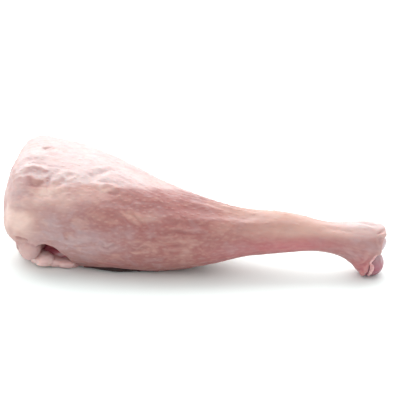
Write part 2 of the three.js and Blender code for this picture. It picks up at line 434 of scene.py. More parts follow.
FOLDS = {
    "small_slit_of_the_thigh": (1.1, -1.2, [(-84.5, -3.5, 60), (-82, -1, 60), (-79.5, 2.5, 60)]),
    "fold_below_the_slit": (2.2, -0.3, [(-83, -14, 59), (-78, -11, 59), (-73, -8, 59), (-71, 0, 59)]),
    "dent_over_the_knee": (4.2, -0.45, [(-87, -21, 58), (-84, -20, 58), (-79, -20, 58)]),
    "white_ridge": (1.8, 0.7, [(-92, -26, 56), (-88, -27, 57), (-84, -27, 57), (-79, -26, 56)]),
    "crease_under_the_ridge": (1.8, -0.5, [
        (-90, -28, 55), (-86, -29, 54), (-81, -29, 54), (-77, -28, 54)]),
    "crease_of_the_corner": (1.7, -0.6, [(-94, -24, 56), (-91, -20, 58), (-88, -18, 59)]),
    "brown_crease": (1.7, -1.1, [(-91, -33, 50), (-88, -34, 51), (-84, -34, 50), (-79, -33, 50)]),
    "groove_down_to_the_pad": (1.8, -0.6, [
        (-93, -34, 47), (-89, -35, 46), (-86, -36, 44), (-82, -37, 44)]),
    "squiggle_groove": (1.3, -0.6, [(-79, -35, 47), (-78, -33, 50), (-77, -30, 52), (-74, -27, 54)]),
    "squiggle_ridge": (1.3, 0.8, [(-76, -35, 47), (-75, -33, 50), (-73, -31, 52), (-71, -27, 54)]),
    "middle_ridge": (1.4, 1.0, [(-77, -36, 46), (-73, -36, 47), (-69, -35, 48)]),
    "ridge_over_the_pad": (2.0, 1.0, [
        (-101, -32, 36), (-97, -36, 39), (-91, -37, 41), (-86, -38, 41), (-80, -39, 41), (-75, -39, 42),
        (-70, -38, 45)]),
    "crease_under_the_pad": (1.2, -1.6, [(-97, -38, 21), (-95, -39, 20), (-92, -40, 19), (-90, -41, 18)]),
    "side_of_the_pad": (2.6, -0.5, [(-83, -40, 36), (-84, -42, 28), (-85, -41, 20)]),
    "lilac_crease": (2.2, -1.1, [(-57, -30, 50), (-53, -26, 53), (-49, -21, 53), (-42, -17, 53)]),
    "glinting_ridge": (1.3, 0.8, [(-54, -32, 50), (-49, -33, 49), (-45, -33, 49), (-39, -34, 48)]),
    "groove_under_the_glint": (1.6, -0.7, [(-52, -36, 47), (-46, -38, 46), (-39, -36, 46)]),
    "dark_crease": (1.1, -0.45, [
        (-38, -42, 42), (-35, -46, 38), (-31, -48, 36), (-27, -49, 34), (-23, -51, 31)]),
    "pale_ridge": (1.5, 0.25, [(-31, -47, 37), (-26, -47, 38), (-21, -49, 35), (-15, -50, 33)]),
    "pale_streak": (1.3, 0.3, [(-40, -39, 45), (-35, -40, 43), (-30, -42, 41), (-26, -43, 40)]),
    "low_crease": (1.0, -0.8, [(-34, -52, 20), (-30, -52, 18), (-26, -52, 20), (-22, -53, 19)]),
    "low_lilac_crease": (1.0, -0.8, [(-49, -50, 21), (-46, -50, 19), (-41, -51, 21)]),
    "long_groove_high": (1.3, -0.45, [(-14, -49, 34), (-4, -49, 32), (8, -49, 31)]),
    "long_groove_middle": (1.2, -0.5, [(-18, -52, 29), (-6, -51, 29), (6, -51, 27)]),
    "long_groove_low": (1.4, -0.45, [(-21, -53, 25), (-9, -53, 22), (4, -52, 20)]),
    "crest_crease": (1.5, -0.5, [(-6, -27, 42), (7, -27, 38), (21, -31, 36), (34, -35, 35)]),
    "crest_ridge": (1.7, 0.6, [(-8, -30, 41), (5, -30, 38), (20, -34, 36), (33, -38, 35)]),
    "under_the_crest": (3.4, -0.7, [(-14, -38, 40), (0, -39, 37), (14, -41, 35), (26, -42, 34)]),
    "shank_groove": (2.2, -0.5, [(22, -43, 33), (38, -43, 33), (58, -42, 32)]),
    "shank_sinew": (2.4, 0.45, [(28, -50, 24), (47, -50, 22), (66, -49, 21)]),
    "ankle_crease": (1.8, -0.55, [(66, -46, 28), (76, -46, 28), (88, -47, 27), (99, -47, 26)]),
    "flap_edge": (0.9, -0.5, [(101, -48, 24), (101, -50, 21), (101, -51, 18)]),
    "flap_crease": (0.8, -0.6, [(100, -47.5, 26), (101.5, -46.5, 26.3), (103.5, -44.5, 27)]),
    "flap_glint": (0.9, 0.8, [(100.5, -48, 25), (102, -47, 25), (104, -44.5, 25.5)]),
    "flap_low_crease": (0.8, -0.6, [(100.5, -49, 23.6), (102, -47.5, 23.7), (104, -45, 24)]),
    "heel_streak": (0.9, -0.6, [(90, -50, 7), (93, -51, 10), (95, -51, 14)]),
    "hock_top_groove": (1.1, -0.6, [(89, -41, 30), (94, -42, 30), (99, -44, 29)]),
    "heel_wrinkle_long": (1.2, -0.3, [(80, -49, 17), (85, -50, 14), (90, -50, 9)]),
    "heel_wrinkle_short": (1.1, -0.25, [(86, -51, 18), (90, -51, 14), (93, -51, 10)]),
    "heel_fold": (1.4, 0.5, [(96, -51, 19), (94, -52, 15), (93, -51, 10)]),
    "far_fold_high": (2.0, -1.1, [(-66, 46, 40), (-50, 45, 30), (-40, 41, 16)]),
    "far_fold_low": (1.8, -1.0, [(-84, 50, 20), (-66, 50, 14), (-50, 44, 8)]),
    "far_calf_crease": (1.6, -0.8, [(-12, 10, 30), (4, -2, 26), (20, -11, 24)]),
    "knee_end_fold": (2.4, -0.8, [(-104, -8, 44), (-105, 10, 40), (-104, 28, 32)]),
}
RING = dict(centre=(-67, -28, 52), radius=2.7, reach=1.2, height=0.45)
WARP = 1.3  # how far the line of a fold wanders, in millimetres
WARP_CELL = 6.0
LIPS = 0.32  # height of the opposite swell on both sides of a fold, as a share of the fold's own

# The fine relief: its cells along and across the leg, and its height, in millimetres.
RELIEF = {
    "swell": dict(along=42, across=20, height=0.9, seed=3, layers=2),
    "lumps": dict(along=13, across=8, height=0.5, seed=11, layers=2),
    "pebbles": dict(along=5.5, across=3.8, height=0.22, seed=51, layers=1),
    "long_folds": dict(along=19, across=4.6, height=0.17, seed=21, layers=2, ridged=True),
    "wrinkles": dict(along=7.5, across=2.6, height=0.11, seed=31, layers=2),
    "crepe": dict(along=2.6, across=1.6, height=0.06, seed=41, layers=1),
}

# Where the fine relief is stronger or weaker than elsewhere: centre, reach, and how much.
LOOSE_SKIN = {
    "over_the_knee": ((-84, -32, 50), (15, 8, 8), 0.5),
    "top_of_the_thigh": ((-60, -4, 58), (44, 22, 12), -0.65),
    "corner_of_the_thigh": ((-92, 22, 46), (16, 22, 18), 0.4),
    "far_side_of_the_thigh": ((-58, 44, 24), (40, 18, 22), 0.2),
    "knee_pad": ((-92, -38, 29), (11, 10, 9), -0.85),
    "top_of_the_calf": ((0, -38, 35), (36, 16, 11), -0.65),
    "shank": ((60, -38, 26), (42, 20, 18), -0.75),
    "hock": ((95, -40, 20), (16, 18, 18), -0.2),
}

# Skin that hangs under the near corner of the knee end and at the heel, and lobes of the fat.
SKIN_LUMPS = (
    dict(centre=(-91, -24, 11), half=(8.5, 17, 5.8), pitch=-0.62),
    dict(centre=(-90, -32.8, 12.4), half=(6.2, 8.2, 7.1)),
    dict(centre=(92.8, -47.8, 4.5), half=(1.9, 1.8, 2.8)),
    dict(centre=(94.0, -49.2, 7.2), half=(1.7, 1.6, 3.2)),
)
FAT_LUMPS = (
    dict(centre=(-86, -28.5, 5), half=(5, 5, 4), turn=-0.3),
    dict(centre=(-82.8, -32.4, 5.0), half=(6.4, 5.0, 4.1), turn=-0.3),
    dict(centre=(-76.5, -31.2, 3.4), half=(6.5, 4.4, 2.9), turn=-0.3),
    dict(centre=(-71, -32.6, 3.0), half=(6.5, 4.2, 2.9), turn=-0.4),
)

# The skin's edge over the bare muscle is drawn up between these places along the leg. The pull begins
# at the front, in millimetres towards the camera, and ends at the top, each over a width.
SLIT = dict(places=[-86, -83, -80, -76, -72, -67], lifts=[0.0, 1.2, 2.0, 1.6, 0.7, 0.0],
            front=31, front_width=5, top=23, top_width=7)


def open_the_slit(surface):
    """Draws the near edge of the skin up, so that the bare muscle shows under it."""
    points = surface.points
    lift = np.interp(points[:, 0], SLIT["places"], SLIT["lifts"])
    near = smooth_step(-points[:, 1], SLIT["front"], SLIT["front"] + SLIT["front_width"])
    low = smooth_step(-points[:, 2], -SLIT["top"], SLIT["top_width"] - SLIT["top"])
    points[:, 2] += lift * near * low


# The cleft under the near edge of the belly: places along the leg, and its height there.
CLEFT = dict(places=[-72, -65, -56, -48, -44, -40, -34, -29, -23, -18, -12],
             heights=[0.0, 0.9, 1.8, 2.8, 3.4, 3.0, 2.0, 1.4, 1.0, 0.5, 0.0], inset=1.3)
NEAR_SIDE = -25  # the near side of the leg is before this
CLEFT_STEP = 1.5  # between the places where the foot of the belly is measured
WALL = 0.8  # the belly goes in over this distance, and then falls steeply
CREEP = 0.3  # how far it still goes in as it falls
FLOOR = 9  # behind its foot the belly is stretched over this distance


def cleft_height(points):
    return np.interp(points[:, 0], CLEFT["places"], CLEFT["heights"]) * (points[:, 1] < NEAR_SIDE)


def undercut_the_belly(surface):
    """Draws the foot of the belly in under its rim, and brings it down steeply to the table."""
    points = surface.points
    height = cleft_height(points)
    rows = []
    for place in np.arange(CLEFT["places"][0], CLEFT["places"][-1], CLEFT_STEP):
        here = (np.abs(points[:, 0] - place) <= 1.0) & (points[:, 1] < NEAR_SIDE)
        at_rim = here & (np.abs(points[:, 2] - np.maximum(height, 0.8)) < 0.6)
        at_foot = here & (points[:, 2] < 0.6)
        if at_rim.any() and at_foot.any():
            rows.append([place, points[at_rim, 1].min(), points[at_foot, 1].min()])
    places, rims, feet = np.array(rows).T
    rim, foot = (np.interp(points[:, 0], places, running_mean(edge, 5)) for edge in (rims, feet))
    slope = np.maximum(foot - rim, 1.5)
    inset = CLEFT["inset"] * np.minimum(height, 1.0)
    behind = points[:, 1] - rim
    falling = inset + CREEP * (behind - WALL) / (slope - WALL)
    wall = np.where(behind < WALL, behind / WALL * inset, falling)
    base = inset + CREEP + (behind - slope) / FLOOR * (slope + (FLOOR - CREEP) - inset)
    moved = np.where(behind < slope, wall, np.where(behind < slope + FLOOR, base, behind))
    low = smooth_step(height - points[:, 2], 0.0, 0.3) * (behind > 0) * smooth_step(height, 0.1, 0.6)
    points[:, 1] += low * (moved - behind)


# Strands of flesh at the hock: places and radii in millimetres.
STRANDS = {
    "skin_edge": dict(
        through=[(101.2, -49.6, 17.6), (99.4, -50.8, 15.6), (97.5, -51.3, 13.2), (95.9, -51.3, 10.6)],
        radii=[0.4, 0.6, 0.7, 0.5]),
    "tendon": dict(
        through=[(96.2, -50.8, 10.4), (97.2, -50.7, 8), (96.8, -49.8, 5), (95.9, -48.4, 2.4)],
        radii=[0.6, 1.2, 1.0, 0.7]),
}


def string_of_lumps(through, radii):
    """Balls so close along a curve that they join into a strand."""
    line = curve_through(through, 8)
    sizes = np.interp(np.linspace(0, 1, len(line)), np.linspace(0, 1, len(radii)), radii)
    return [dict(centre=tuple(place), half=(size, size, size)) for place, size in zip(line, sizes)]


def onto(tree, point):
    """The point of the skin nearest to a place, in millimetres."""
    return np.array(tree.find_nearest(Vector(point) * MM)[0]) / MM


def fold_relief(points, tree):
    """How far the named folds raise or sink each point."""
    wander = np.column_stack([gradient_noise(points / WARP_CELL, 70 + axis) for axis in range(3)])
    moved = points + WARP * wander
    height = np.zeros(len(points))
    for reach, size, through in FOLDS.values():
        route = curve_through([onto(tree, place) for place in through])
        near = (np.abs(moved - route.mean(axis=0)).max(axis=1)
                < np.ptp(route, axis=0).max() / 2 + 4 * reach + WARP)
        gap, along = distance_to_line(moved[near], route)
        ends = np.sin(np.pi * np.clip(along, 0.02, 0.98)) ** 0.5
        body = np.exp(-(gap / reach) ** 2)
        lips = np.exp(-((gap / reach - 2) ** 2) * 1.4)
        height[near] += size * ends * (body - LIPS * lips)
    centre = onto(tree, RING["centre"])
    from_ring = np.abs(np.linalg.norm(moved - centre, axis=1) - RING["radius"])
    height += RING["height"] * np.exp(-(from_ring / RING["reach"]) ** 2)
    return height


def fine_relief(points, leg_line):
    """Swells, lumps and wrinkles of the skin, in millimetres."""
    height = np.zeros(len(points))
    loose = np.clip(soft_spots(points, LOOSE_SKIN.values(), 1), 0.1, 3)
    for layer in RELIEF.values():
        cells = leg_line.cells(points, layer["along"], layer["across"])
        wave = layered_noise(cells, layer["seed"], layer["layers"])
        if layer.get("ridged"):
            wave = 0.35 - np.abs(wave) ** 0.7
        height += layer["height"] * wave * loose
    return height


# ---------------------------------------------------------------------------- node graphs


def add_socket(tree, name, kind, way="INPUT", default=None):
    socket = tree.interface.new_socket(name, in_out=way, socket_type=kind)
    if default is not None:
        socket.default_value = default
    return socket.identifier


class Graph:
    """Short ways to add nodes to a tree and to join them."""

    def __init__(self, tree):
        self.nodes = tree.nodes
        self.links = tree.links

    def add(self, kind, settings=None, **inputs):
        """A node with its settings, and with inputs that are values or other nodes' outputs."""
        node = self.nodes.new(kind)
        for name, value in (settings or {}).items():
            setattr(node, name, value)
        for name, value in inputs.items():
            self.feed(node.inputs[name.replace("_", " ")], value)
        return node

    def feed(self, socket, value):
        if isinstance(value, bpy.types.NodeSocket):
            self.links.new(value, socket)
        elif socket.type == "RGBA" and len(value) == 3:
            socket.default_value = (*value, 1.0)
        else:
            socket.default_value = value

    def join(self, kind, settings, output, *values):
        """The output of a node whose first inputs are some values, in order."""
        node = self.add(kind, settings)
        for number, value in enumerate(values):
            self.feed(node.inputs[number], value)
        return node.outputs[output]

    def vectors(self, operation, a, b):
        return self.join("ShaderNodeVectorMath", {"operation": operation}, "Vector", a, b)

    def math(self, operation, a, b, clamp=False):
        return self.join("ShaderNodeMath", {"operation": operation, "use_clamp": clamp}, "Value", a, b)

    def times(self, a, b):
        return self.math("MULTIPLY", a, b)

    def span(self, value, low, high, new_low=0.0, new_high=1.0):
        """A value from low to high moved into another span, and held there."""
        return self.join("ShaderNodeMapRange", {"interpolation_type": "SMOOTHSTEP"}, "Result",
                         value, low, high, new_low, new_high)

    def coordinates(self, stretch=(1, 1, 1)):
        """Object coordinates in millimetres, squeezed so that a pattern is stretched."""
        place = self.add("ShaderNodeTexCoord").outputs["Object"]
        return self.vectors("MULTIPLY", place, [1 / (MM * share) for share in stretch])

    def noise(self, vector, size, detail=2.0, roughness=0.5, distortion=0.0):
        """Noise from 0 to 1 with lumps of a size in the vector's own units."""
        return self.add("ShaderNodeTexNoise", Vector=vector, Scale=1 / size, Detail=detail,
                        Roughness=roughness, Distortion=distortion).outputs["Fac"]

    def attribute(self, name):
        return self.add("ShaderNodeAttribute", {"attribute_name": name}).outputs["Fac"]

    def mix(self, share, a, b, blend="MIX"):
        node = self.add("ShaderNodeMix", {"data_type": "RGBA", "blend_type": blend}, Factor=share)
        self.feed(node.inputs[6], a)
        self.feed(node.inputs[7], b)
        return node.outputs[2]

    def bump(self, height, distance, strength):
        return self.add("ShaderNodeBump", Strength=strength, Distance=distance,
                        Height=height).outputs["Normal"]


# ---------------------------------------------------------------------------- geometry nodes

FOLLICLE_STRETCH = 0.5  # the bumps' width across the leg, as a share of their length along it
FOLLICLE_SEED = 5
MOST_FOLLICLES = 400000.0  # per square metre, before the least distance thins them out


def follicle_tree():
    """Raises a low bump, longer along the leg than across it, at each of many scattered points."""
    tree = bpy.data.node_groups.new("Follicles", "GeometryNodeTree")
    sockets = {"skin": add_socket(tree, "Skin", "NodeSocketGeometry")}
    for name, default in (("Spacing", 0.004), ("Width", 0.002), ("Height", 0.0002), ("Stretch", 0.5)):
        sockets[name.lower()] = add_socket(tree, name, "NodeSocketFloat", default=default)
    sockets["seed"] = add_socket(tree, "Seed", "NodeSocketInt", default=FOLLICLE_SEED)
    sockets["material"] = add_socket(tree, "Material", "NodeSocketMaterial")
    add_socket(tree, "Skin", "NodeSocketGeometry", "OUTPUT")
    graph = Graph(tree)
    given = graph.add("NodeGroupInput").outputs
    where = graph.add("GeometryNodeInputNamedAttribute", Name="feathered").outputs["Attribute"]
    scatter = graph.add("GeometryNodeDistributePointsOnFaces", {"distribute_method": "POISSON"},
                        Mesh=given["Skin"], Distance_Min=given["Spacing"], Density_Max=MOST_FOLLICLES,
                        Density_Factor=where, Seed=given["Seed"])
    squeeze = graph.add("ShaderNodeCombineXYZ", X=given["Stretch"], Y=1.0, Z=1.0).outputs["Vector"]
    place = graph.add("GeometryNodeInputPosition").outputs["Position"]
    squeezed = graph.vectors("MULTIPLY", place, squeeze)
    centres = graph.add("GeometryNodeSetPosition", Geometry=scatter.outputs["Points"], Position=squeezed)
    nearest = graph.add("GeometryNodeProximity", {"target_element": "POINTS"},
                        Geometry=centres.outputs["Geometry"], Sample_Position=squeezed)
    bump = graph.span(nearest.outputs["Distance"], 0.0, graph.times(given["Width"], 0.5), 1.0, 0.0)
    marked = graph.add("GeometryNodeStoreNamedAttribute", {"data_type": "FLOAT", "domain": "POINT"},
                       Name="follicle", Geometry=given["Skin"], Value=bump)
    outwards = graph.add("GeometryNodeInputNormal").outputs["Normal"]
    offset = graph.add("ShaderNodeVectorMath", {"operation": "SCALE"},
                       Vector=outwards, Scale=graph.times(bump, given["Height"]))
    raised = graph.add("GeometryNodeSetPosition", Geometry=marked.outputs["Geometry"],
                       Offset=offset.outputs["Vector"])
    realized = graph.add("GeometryNodeRealizeInstances", Geometry=raised.outputs["Geometry"])
    painted = graph.add("GeometryNodeSetMaterial", Geometry=realized.outputs["Geometry"],
                        Material=given["Material"])
    graph.add("NodeGroupOutput", Skin=painted.outputs["Geometry"])
    return tree, sockets


# ---------------------------------------------------------------------------- colours of the skin
# Patches of colour: centre and reach in millimetres, and strength.

TINTS = {
    "cream": [
        ((-95, -36, 30), (11, 12, 9), 1.5),
        ((-79, -36, 45), (8, 5, 4), 1.2),
        ((-67, -29, 52), (5, 5, 4), 0.8),
        # Painted highlights: a cream glint along the glinting ridge, and a cream streak along the crest of
        # the calf.
        ((-48, -33, 48), (8, 3, 2), 0.9),
        ((18, -33, 37), (10, 3, 2.5), 0.4),
        ((-16, -16, 47), (24, 9, 5), 0.5),
        ((90, -46, 27), (15, 6, 3), 0.45),
        ((-98, 18, 36), (10, 18, 16), 0.6),
        ((-44, 46, 20), (14, 10, 14), 0.4),
    ],
    "peach": [
        ((-66, -38, 43), (17, 6, 5), 1.0),
        ((-28, -48, 35), (9, 4, 3), 0.6),
        ((45, -36, 33), (28, 12, 5), 1.2),
        ((70, -44, 28), (22, 9, 4), 0.8),
        ((48, -48, 27), (26, 8, 3), 0.6),
        ((10, -8, 20), (22, 10, 8), 0.6),
        ((-50, 44, 34), (26, 10, 12), 0.5),
    ],
    "lilac": [
        ((-74, -44, 27), (14, 12, 13), 1.1),
        ((-56, -46, 18), (18, 12, 9), 0.8),
        ((-41, -50, 25), (8, 6, 5), 0.45),
        ((-50, -26, 52), (11, 7, 4), 0.9),
        ((-95, -33, 44), (5, 5, 4), 0.6),
        ((-20, -46, 37), (9, 4, 3), 0.5),
        ((74, -45, 28), (16, 8, 4), 0.35),
        ((92, -47, 19), (14, 10, 9), 1.1),
        ((96, -36, 31), (13, 10, 4), 0.4),
        ((-80, 48, 24), (14, 12, 14), 0.5),
        ((-20, 24, 30), (22, 14, 14), 0.4),
    ],
    "rose": [
        ((-22, -50, 26), (26, 12, 12), 0.9),
        ((-10, -46, 35), (28, 12, 7), 1.1),
        ((14, -46, 28), (24, 12, 8), 0.6),
        ((-86, -19, 57), (6, 5, 4), 0.6),
        ((-87, -32, 51), (6, 4, 4), 0.9),
        # Painted shade: darkens the skin below the crest of the calf, where the light falls off.
        ((-4, -33, 38), (24, 8, 4), 1.2),
        ((-58, 52, 30), (22, 12, 16), 0.5),
        ((0, 8, 22), (26, 12, 12), 0.6),
    ],
    "blush": [
        ((54, -49, 19), (25, 9, 6), 0.75),
        ((24, -50, 12), (16, 8, 7), 0.4),
        ((93, -50, 5), (9, 8, 8), 0.8),
        ((-45, -50, 5), (20, 8, 3), 0.35),
        # With the pale spot under the knee corner, painted light on the hanging skin there, in pink.
        ((-91, -36, 8), (6, 8, 5), 0.4),
        ((-86, -31, 48), (4, 4, 3), 0.25),
    ],
}
TINT_WARP = 5.0  # how far the edges of the patches wander, in millimetres
TINT_CELL = 11.0

# The near edge of the pale skin on top of the thigh, whose pale is partly its own colour and partly painted
# light: x, y, z.
PALE_EDGE = np.array([
    (-106, -30, 50), (-88, -32, 52), (-72, -35, 48), (-55, -34, 49), (-39, -33, 48), (-23, -30, 45),
    (-7, -20, 42), (4, -20, 38.5), (14, -24, 37), (30, -32, 36), (60, -38, 35), (106, -38, 31),
])
PALE_AMOUNT = [(-106, 0.9), (-60, 1.0), (-30, 0.85), (-8, 0.7), (4, 0.55), (16, 0.3), (40, 0.05),
               (106, 0.1)]
PALE_SPOTS = [
    ((-99, -26, 48), (11, 11, 15), 1.2),
    ((-82, -27, 52), (12, 4, 5), 0.5),
    ((-70, -38, 44), (22, 7, 8), 0.55),
    ((95, -42, 30), (20, 9, 4.5), 1.2),
    ((103, -46, 22), (3, 6, 5), 0.6),
    # Painted light: lightens the skin that hangs under the knee corner, which lies in shade.
    ((-90, -38, 12), (10, 9, 7), 1.0),
    ((-96, -31, 50), (5, 5, 6), 0.9),
]
OVER_THE_EDGE = (0.7, 0.72)  # across and up
EDGE_CELLS = (12, 5)  # size of the bays in the edge, along and across the leg
EDGE_BAYS = 3.2  # how far the bays reach, in millimetres

# Where the colour is more uneven than elsewhere: the shank, the pad, and over the knee.
UNEVEN = [
    ((64, -40, 26), (38, 22, 18), -0.65),
    ((-94, -38, 29), (10, 10, 9), -0.6),
    ((-82, -34, 48), (18, 8, 8), 0.9),
]
BARE_PAD = [((-92, -38, 30), (12, 10, 10), -0.6)]  # few feathers grew here


def paint_skin(surface, leg_line):
    """Keeps what the skin's material needs to know about each place of the skin."""
    points, normals = surface.points, surface.normals()
    wander = np.column_stack([layered_noise(points / TINT_CELL, 90 + 5 * axis, 2) for axis in range(3)])
    moved = points + TINT_WARP * wander * (leg_line.at(points)[2] / FULL_RADIUS)[:, None]
    for tint, spots in TINTS.items():
        surface.paint(tint, soft_spots(moved, spots))
    pale = pale_skin(points, normals, leg_line)
    surface.paint("pale", pale)
    surface.paint("uneven", soft_spots(points, UNEVEN, 1) - 0.35 * pale)

    fine, broad = surface.proud(3), surface.proud(22)
    # Painted highlight: ridges, found from the form, are marked to be painted lighter.
    surface.paint("ridge", smooth_step(fine, 0.0, 0.055) * 0.6 + smooth_step(broad, 0.05, 0.5) * 0.4)
    # Painted shade: creases and hollows, found from the form, are marked to be painted darker.
    surface.paint("groove", smooth_step(-fine, 0.0, 0.06) * 0.5 + smooth_step(-broad, 0.05, 0.55) * 0.6)
    cut = smooth_step(-distance_to_nodes(points, BARE_NODES), -0.9, -0.6)
    surface.paint("raw", cut)
    # Painted shade: inside the cleft under the belly's rim, the skin that faces out is painted near black,
    # standing in for the shadow there.
    over_cleft = points[:, 2] - cleft_height(points)
    deep = smooth_step(cleft_height(points), 0.2, 0.9)
    facing_out = smooth_step(-normals[:, 1], -0.1, 0.3)
    surface.paint("cleft", deep * facing_out * smooth_step(-over_cleft, -0.1, 0.35))
    # Painted light: a band along the belly's lower lip, above the cleft, gets the bright rim colour for
    # light reflected from the table; the rest of the rim is the skin's own thin cut edge.
    painted_lip_light = deep * smooth_step(over_cleft, -0.3, 0.2) * smooth_step(-over_cleft, -2.2, -0.6)
    surface.paint("rim", np.maximum(0.45 * painted_lip_light, smooth_step(surface.relaxed(cut, 9), 0.04, 0.3)))


def pale_skin(points, normals, leg_line):
    """The pale skin on top of the thigh, which ends in a crisp uneven edge: partly the skin's own pale
    colour over the fat, partly painted light, as it is kept to surfaces that face up and is strongest where
    they face up most.
    """
    edge_across, edge_up = (np.interp(points[:, 0], PALE_EDGE[:, 0], PALE_EDGE[:, axis]) for axis in (1, 2))
    past = OVER_THE_EDGE[0] * (points[:, 1] - edge_across) + OVER_THE_EDGE[1] * (points[:, 2] - edge_up)
    past += EDGE_BAYS * layered_noise(leg_line.cells(points, *EDGE_CELLS), 120, 3)
    # Painted light: pale only where the skin faces up, and the lit copy where it faces up most.
    painted_light_upwards = smooth_step(normals[:, 2] + 0.15 * layered_noise(points / 14, 130, 2), 0.2, 0.6)
    amount = np.interp(points[:, 0], *np.array(PALE_AMOUNT, float).T)
    amount = amount * smooth_step(past, -2.2, 2.6) * painted_light_upwards
    painted_light_turned_up = 0.75 + 0.25 * smooth_step(normals[:, 2], 0.45, 0.85)
    return np.clip(np.maximum(amount, soft_spots(points, PALE_SPOTS)), 0, 1) * painted_light_turned_up


def feathered(points, normals):
    """Where feathers grew: everywhere but on the cut faces, thinly on the shank."""
    away_from_cuts = smooth_step(distance_to_nodes(points, BARE_NODES), 2, 5)
    shank = 1 - 0.65 * smooth_step(points[:, 0], 25, 55)
    pad = soft_spots(points, BARE_PAD, 1)
    return away_from_cuts * shank * pad * smooth_step(normals[:, 2], -0.8, -0.3)


# ---------------------------------------------------------------------------- shader node groups


def build_wet_film(graph, given):
    """A thin film of moisture: patches that are wet or nearly dry, and a fine uneven grain."""
    place = graph.coordinates((1.8, 1, 1))
    patches = graph.noise(place, 7.0, 3, 0.55)
    beads = graph.noise(place, 0.9, 2, 0.6)
    wet = graph.span(patches, 0.38, 0.62)
    gap = graph.math("SUBTRACT", given["Dry roughness"], given["Wet roughness"])
    roughness = graph.math("SUBTRACT", given["Dry roughness"], graph.times(wet, gap))
    return {
        "Roughness": graph.math("ADD", roughness, graph.span(beads, 0.4, 0.6, -0.03, 0.03)),
        "Coat": graph.times(graph.span(patches, 0.3, 0.7, 0.2, 1.0), given["Film"]),
        "Grain": beads,
    }


def build_mottle(graph, given):
    """Uneven colour at four sizes: clouds, veils, blotches drawn out along the leg, and specks."""
    drawn_out = graph.coordinates((2.4, 1, 1))
    patterns = {
        "Clouds": graph.noise(graph.coordinates(), 17.0, 2, 0.5, 0.6),
        "Veils": graph.noise(graph.coordinates((1.6, 1, 1)), 9.5, 3, 0.55, 1.0),
        "Blotches": graph.noise(drawn_out, 5.2, 2, 0.5, 0.7),
        "Specks": graph.noise(drawn_out, 2.1, 1, 0.5),
    }
    for name, pattern in patterns.items():
        stronger = graph.times(graph.math("SUBTRACT", pattern, 0.5), given["Contrast"])
        patterns[name] = graph.math("ADD", stronger, 0.5, clamp=True)
    return patterns


def build_fibres(graph, given):
    """Threads that run along the leg, as in muscle and sinew."""
    threads = graph.noise(graph.coordinates((14, 1, 1)), 0.9, 2, 0.55, 0.3)
    bundles = graph.noise(graph.coordinates((9, 1, 1)), 3.6, 2, 0.5, 0.5)
    both = graph.math("ADD", graph.times(threads, 0.4), graph.times(bundles, 0.6))
    return {"Fibres": graph.times(both, given["Strength"]), "Bundles": bundles}


# How each group is built, its inputs with their defaults, and its outputs.
GROUPS = {
    "Wet film": (build_wet_film, {"Dry roughness": 0.5, "Wet roughness": 0.3, "Film": 0.5},
                 ("Roughness", "Coat", "Grain")),
    "Mottle": (build_mottle, {"Contrast": 2.0}, ("Clouds", "Veils", "Blotches", "Specks")),
    "Fibres": (build_fibres, {"Strength": 1.0}, ("Fibres", "Bundles")),
}


def build_group(name):
    build, inputs, outputs = GROUPS[name]
    tree = bpy.data.node_groups.new(name, "ShaderNodeTree")
    for label, value in inputs.items():
        add_socket(tree, label, "NodeSocketFloat", default=value)
    for label in outputs:
        add_socket(tree, label, "NodeSocketFloat", "OUTPUT")
    graph = Graph(tree)
    made = build(graph, graph.add("NodeGroupInput").outputs)
    result = graph.add("NodeGroupOutput")
    for label, socket in made.items():
        graph.feed(result.inputs[label], socket)
    return tree


def place_group(graph, name, **values):
    """A group placed in a material with its own values. It is built the first time."""
    tree = bpy.data.node_groups.get(name) or build_group(name)
    return graph.add("ShaderNodeGroup", {"node_tree": tree}, **values).outputs


def wet_film(graph, dry, wet, film):
    return place_group(graph, "Wet film", Dry_roughness=dry, Wet_roughness=wet, Film=film)


# ---------------------------------------------------------------------------- materials

FLESH_RADIUS = (1.0, 0.34, 0.24)  # how far red, green and blue light spread under the surface
GRISTLE_RADIUS = (1.0, 0.5, 0.45)
FAT_RADIUS = (1.0, 0.55, 0.4)
# Near-black painted shade for the cleft under the belly.
CLEFT_PAINTED_SHADE = (0.03, 0.01, 0.009)
BRIGHT_BUNDLES = (0.54, 0.14, 0.17)
DARK_CLOUDS = (0.28, 0.045, 0.07)
# A darker rose for the low part of the knuckle.
DARK_ROSE_FOOT = (0.32, 0.065, 0.105)
LIGHTER = (1.16, 1.14, 1.12)
DARKER = (0.84, 0.7, 0.72)


def new_material(name):
    """A new material, and an empty graph for its nodes."""
    material = bpy.data.materials.new(name)
    material.use_nodes = True
    graph = Graph(material.node_tree)
    graph.nodes.clear()
    return material, graph


def add_shader(graph, **inputs):
    """The material's Principled shader. What doesn't vary is set on the shader's own sockets."""
    shader = graph.add("ShaderNodeBsdfPrincipled", **inputs)
    graph.add("ShaderNodeOutputMaterial", Surface=shader.outputs["BSDF"])


def add_wet_shader(graph, colour, film, **inputs):
    add_shader(graph, Base_Color=colour, Roughness=film["Roughness"], Coat_Weight=film["Coat"], **inputs)


